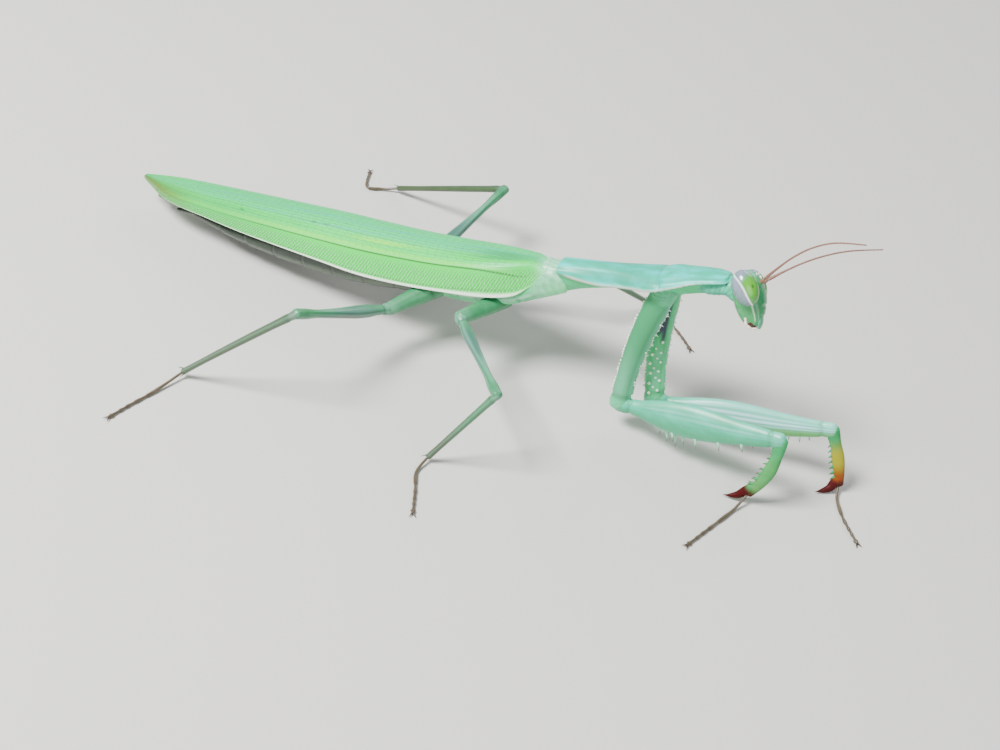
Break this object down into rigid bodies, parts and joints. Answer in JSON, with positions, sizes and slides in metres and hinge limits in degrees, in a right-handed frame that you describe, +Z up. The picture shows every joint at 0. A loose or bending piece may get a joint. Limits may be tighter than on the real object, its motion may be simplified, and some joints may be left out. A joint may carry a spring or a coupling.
{
  "type": "praying mantis",
  "caption": "Life-size still model of a green praying mantis standing with folded wings and lowered grasping forelegs.",
  "frame": {"origin": "middle of the model's box, on the floor that the feet stand on", "axes": "+X towards the head, +Y to the animal's left, +Z up"},
  "size_m": [0.0904, 0.0534, 0.032],
  "materials": {
    "cuticle": "smooth, satin green outer skin of body and legs",
    "face": "smooth green head, satin",
    "wing": "leathery green forewing with raised veins",
    "wing_under": "folded hindwings, pale green and thin",
    "eye": "glossy compound eye with a pale band",
    "mouth": "pale mouthparts",
    "jaw": "dark horny jaws",
    "feeler": "thin ringed feelers, brownish pink",
    "joint": "soft pale skin of the neck",
    "foreleg_inner": "grasping leg with pale warts and a dark patch on the inner side of the coxa",
    "claw_leg": "spiny shin, green turning yellow and dark red at the claw",
    "foot": "jointed feet, dull brown"
  },
  "bodies": {
    "root": {"head": "face", "eye_left": "eye", "eye_right": "eye", "antenna_left": "feeler", "antenna_right": "feeler", "labrum": "face", "jaws": "jaw", "palp_left": "mouth", "palp_right": "mouth", "neck": "joint", "prothorax": "cuticle", "thorax": "cuticle", "abdomen": "cuticle", "cercus_left": "cuticle", "cercus_right": "cuticle", "tegmen_left": "wing", "tegmen_right": "wing", "hindwings": "wing_under", "fore_left_coxa": "foreleg_inner", "fore_left_femur": "cuticle", "fore_left_tibia": "claw_leg", "fore_left_tarsus": "foot", "fore_right_coxa": "foreleg_inner", "fore_right_femur": "cuticle", "fore_right_tibia": "claw_leg", "fore_right_tarsus": "foot", "mid_left_coxa": "cuticle", "mid_left_femur": "cuticle", "mid_left_tibia": "cuticle", "mid_left_tarsus": "foot", "mid_right_coxa": "cuticle", "mid_right_femur": "cuticle", "mid_right_tibia": "cuticle", "mid_right_tarsus": "foot", "hind_left_coxa": "cuticle", "hind_left_femur": "cuticle", "hind_left_tibia": "cuticle", "hind_left_tarsus": "foot", "hind_right_coxa": "cuticle", "hind_right_femur": "cuticle", "hind_right_tibia": "cuticle", "hind_right_tarsus": "foot"}
  },
  "joints": []
}
